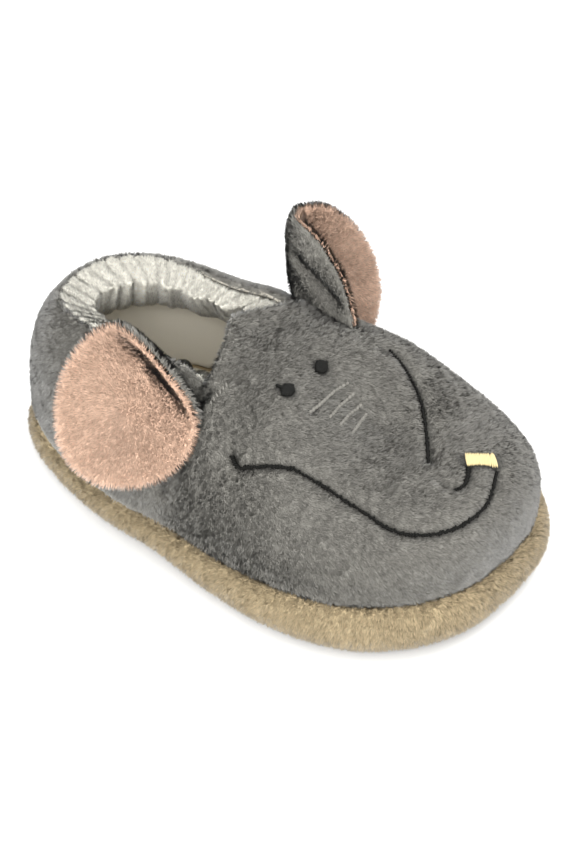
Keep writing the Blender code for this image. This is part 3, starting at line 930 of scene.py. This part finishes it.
class SLIPPER_OT_cuff(bpy.types.Operator):
    """Make the gathered cream cuff round the heel"""

    bl_idname = "slipper.cuff"
    bl_label = "Heel cuff"

    def execute(self, context):
        roll = soft_form("collar_cuff", "heel_cuff", CUFF_VOXEL, 2)
        mesh = roll.data
        normals, points = normals_of(mesh), points_of(mesh)
        mesh.materials.append(bpy.data.materials["cream_cloth"])
        outwards = points - np.array(CUFF_CENTRE) * MM
        angle = np.arctan2(outwards[:, 0], outwards[:, 1])
        outwards[:, 2] = 0
        wander = 1.3 * lumps(points, 7 * MM, 4)
        rib = np.abs(np.sin(angle * CUFF_RIBS / 2 + wander))
        furrow = (1 - rib) ** 2 * (0.75 + 0.4 * lumps(points, 5 * MM, 6))
        move_points(mesh, points - normals * (FURROW_DEPTH * furrow)[:, None])
        # Painted shade in the furrows between the ribs
        set_attribute(mesh, "painted_shading", 0.10 * furrow)
        over = along_surface(outwards / np.linalg.norm(outwards, axis=1)[:, None], normals)
        pile = grow_pile(
            roll, "cuff_pile", bpy.data.materials["cream_pile"], np.ones(len(points)), over,
            density=2.0e7, length=0.7 * MM, lean=0.8, wobble=0.9, tuft_size=1.2 * MM, tuft_pull=0.15,
            stray=0.25, seed=41,
        )
        dress(roll, "cream_plush", "collar_cuff", fill=0.8)
        dress(pile, "cream_plush")
        return {"FINISHED"}


def crease_ear(mesh, node):
    """Creases an ear; gives its painted shade in folds and in the crease, its painted highlight on ridges,
    and the pile's height.
    """
    points, normals = points_of(mesh), normals_of(mesh)
    ridge = ridges(mesh)
    # Painted highlight on the ear's ridges and painted shade in its folds
    painted_shading = np.where(ridge > 0, -0.45, -0.6) * ridge
    height = 1 + 0.6 * np.clip(ridge, 0, 1)
    lumped = 0.25 * MM * lumps(points, 6 * MM, 5)
    if node == "ear_lateral_face":
        closed = np.exp(-((distance_to(points, FOLD_TOP) / (3 * MM)) ** 2))
        height = height + 0.5 * closed
    elif node == "ear_medial_back":
        valley = np.exp(-((distance_to(points, FAR_CREASE) / (1.6 * MM)) ** 2))
        lumped = lumped - 0.9 * MM * valley
        # Painted shade in the far ear's crease
        painted_shading = painted_shading + 0.3 * valley
    move_points(mesh, points + normals * lumped[:, None])
    return painted_shading, height


class SLIPPER_OT_ears(bpy.types.Operator):
    """Make both ears: grey plush backs and pink plush faces"""

    bl_idname = "slipper.ears"
    bl_label = "Ears"

    def execute(self, context):
        for seed, side in enumerate(("lateral", "medial")):
            for layer, colour in (("back", "grey"), ("face", "pink")):
                node = f"ear_{side}_{layer}"
                cloth = soft_form(node, f"{node}_cloth", EAR_VOXEL, 2)
                mesh = cloth.data
                painted_shading, height = crease_ear(mesh, node)
                set_attribute(mesh, "painted_shading", painted_shading)
                points, normals = points_of(mesh), normals_of(mesh)
                mesh.materials.append(bpy.data.materials[f"{colour}_cloth"])
                spread = points - points.mean(axis=0)
                pile = grow_pile(
                    cloth, f"{node}_pile", bpy.data.materials[f"{colour}_pile"],
                    np.ones(len(points)), along_surface(spread / (12 * MM), normals), height,
                    density=1.7e7, length=1.0 * MM, lean=0.8, wobble=1.2, tuft_size=1.2 * MM,
                    tuft_pull=0.35, stray=0.3, seed=51 + 7 * seed,
                )
                dress(cloth, f"{colour}_plush", node, fill=0.3)
                dress(pile, f"{colour}_plush")
        return {"FINISHED"}


def dot_row(centre, radius):
    """A satin-stitched dot: one row whose stitches are as long as the dot is wide there."""
    x, y, z = centre
    across = radius * 0.95
    row = ((x - across, y, z), (x, y, z), (x + across, y, z))
    return row, lambda share: 2 * radius * MM * math.sqrt(max(0.06, 1 - (2 * share - 1) ** 2))


class SLIPPER_OT_embroidery(bpy.types.Operator):
    """Sew the eyes, trunk, mouth, wrinkles and trunk tip on the vamp, and the seam's stitches"""

    bl_idname = "slipper.embroidery"
    bl_label = "Embroidery"

    def execute(self, context):
        materials, thread = bpy.data.materials, context.scene.slipper_thread
        surface = surface_tree(bpy.data.objects["upper_shell"])
        lines = [
            (MOUTH_LINE, thread.width),
            (SEWN_TRUNK, lambda share: thread.width * (0.4 + 0.7 * share)),
            (SEWN_NOSTRIL, thread.width),
        ]
        pieces = [
            sew(
                "mouth_and_trunk_lines", materials["black_thread"], surface, lines, 0.55 * MM,
                spacing=0.65 * MM, thickness=0.65 * MM, turn=0.6, uneven=0.45, seed=3,
            ),
            sew(
                "eyes", materials["black_thread"], surface,
                [dot_row(eye, EYE_RADIUS) for eye in EYES] + [(LASH, 0.8 * MM)], 0.6 * MM,
                spacing=0.3 * MM, thickness=0.9 * MM, turn=1.45, uneven=0.05, seed=4,
            ),
            sew(
                "wrinkles", materials["grey_thread"], surface, [(w, 1.4 * MM) for w in WRINKLES], 0.35 * MM,
                spacing=1.0 * MM, thickness=0.9 * MM, turn=0.1, uneven=0.2, seed=5,
            ),
            sew(
                "seam_stitches", materials["grey_thread"], surface, [(SEAM_STITCHES, 1.2 * MM)], 0.6 * MM,
                spacing=0.9 * MM, thickness=0.5 * MM, turn=0.9, uneven=0.15, seed=8,
            ),
            sew(
                "trunk_tip", materials["straw_thread"], surface, [(TIP_BAND, TIP_BAND_WIDTH * MM)],
                0.6 * MM, spacing=0.34 * MM, thickness=0.6 * MM, turn=1.5, uneven=0.04, seed=6,
            ),
        ]
        for piece in pieces:
            dress(piece, "grey_plush")
        return {"FINISHED"}


class SLIPPER_OT_stage(bpy.types.Operator):
    """Make the floor, the light and the camera"""

    bl_idname = "slipper.stage"
    bl_label = "Stage"

    def execute(self, context):
        stage = context.scene.slipper_stage
        self.lay_floor(stage)
        self.light(context.scene, stage)
        self.place_camera(context.scene, stage)
        return {"FINISHED"}

    @staticmethod
    def lay_floor(stage):
        mesh = bpy.data.meshes.new("floor")
        corners = [(x * FLOOR_HALF, y * FLOOR_HALF, 0) for x, y in ((-1, -1), (1, -1), (1, 1), (-1, 1))]
        mesh.from_pydata(corners, [], [(0, 1, 2, 3)])
        floor = linked("floor", mesh)
        made, tree, shader = new_material("pale_floor")
        tree.links.new(mottled(tree, stage.floor, 0.0, 0.01).outputs[0], shader.inputs["Base Color"])
        shader.inputs["Roughness"].default_value = 0.9
        mesh.materials.append(made)

    @staticmethod
    def light(scene, stage):
        world = bpy.data.worlds.new("room")
        world.use_nodes = True
        background = world.node_tree.nodes["Background"]
        background.inputs["Color"].default_value = (1, 1, 1, 1)
        background.inputs["Strength"].default_value = stage.daylight
        scene.world = world
        for name, place, size, power in LAMPS:
            lamp = bpy.data.lights.new(name, "AREA")
            lamp.size = size
            lamp.energy = power
            light = bpy.data.objects.new(name, lamp)
            scene.collection.objects.link(light)
            light.location = place
            towards = Vector(LAMP_AIM) - Vector(place)
            light.rotation_euler = towards.to_track_quat("-Z", "Y").to_euler()
        scene.view_settings.view_transform = "Standard"

    @staticmethod
    def place_camera(scene, stage):
        back = Vector(VIEW_BACK).normalized()
        right = Vector(VIEW_RIGHT).normalized()
        up = back.cross(right)
        roll = math.radians(VIEW_ROLL)
        level = math.cos(roll) * right + math.sin(roll) * up
        upright = -math.sin(roll) * right + math.cos(roll) * up
        aim = Vector(VIEW_AIM) + SHIFT_RIGHT * right - SHIFT_DOWN * up
        camera = bpy.data.objects.new("camera", bpy.data.cameras.new("camera"))
        scene.collection.objects.link(camera)
        camera.data.lens = stage.lens
        camera.data.sensor_width = SENSOR_WIDTH
        camera.data.clip_start = NEAR_CLIP
        turn = Matrix((level, upright, back)).transposed().to_4x4()
        camera.matrix_world = Matrix.Translation(aim + back * VIEW_DISTANCE) @ turn
        scene.camera = camera


class SLIPPER_PT_panel(bpy.types.Panel):
    """Lists the slipper's settings and its pieces"""

    bl_idname = "SLIPPER_PT_panel"
    bl_label = "Elephant slipper"
    bl_space_type = "VIEW_3D"
    bl_region_type = "UI"
    bl_category = "Slipper"

    def draw(self, context):
        for settings in (
            context.scene.slipper_plush, context.scene.slipper_thread, context.scene.slipper_stage
        ):
            box = self.layout.box()
            for name in settings.__annotations__:
                box.prop(settings, name)
        for operator in OPERATORS:
            self.layout.operator(operator.bl_idname)


SETTINGS = (
    ("slipper_plush", PlushSettings), ("slipper_thread", ThreadSettings), ("slipper_stage", StageSettings)
)
OPERATORS = (
    SLIPPER_OT_finishes, SLIPPER_OT_sole, SLIPPER_OT_insole, SLIPPER_OT_upper, SLIPPER_OT_cuff,
    SLIPPER_OT_ears, SLIPPER_OT_embroidery, SLIPPER_OT_stage,
)


def register():
    for name, group in SETTINGS:
        bpy.utils.register_class(group)
        setattr(bpy.types.Scene, name, bpy.props.PointerProperty(type=group))
    for kind in (*OPERATORS, SLIPPER_PT_panel):
        bpy.utils.register_class(kind)


def unregister():
    for kind in reversed((*OPERATORS, SLIPPER_PT_panel)):
        bpy.utils.unregister_class(kind)
    for name, group in reversed(SETTINGS):
        delattr(bpy.types.Scene, name)
        bpy.utils.unregister_class(group)


def main():
    register()
    for operator in OPERATORS:
        group, name = operator.bl_idname.split(".")
        getattr(getattr(bpy.ops, group), name)()


if __name__ == "__main__":
    main()
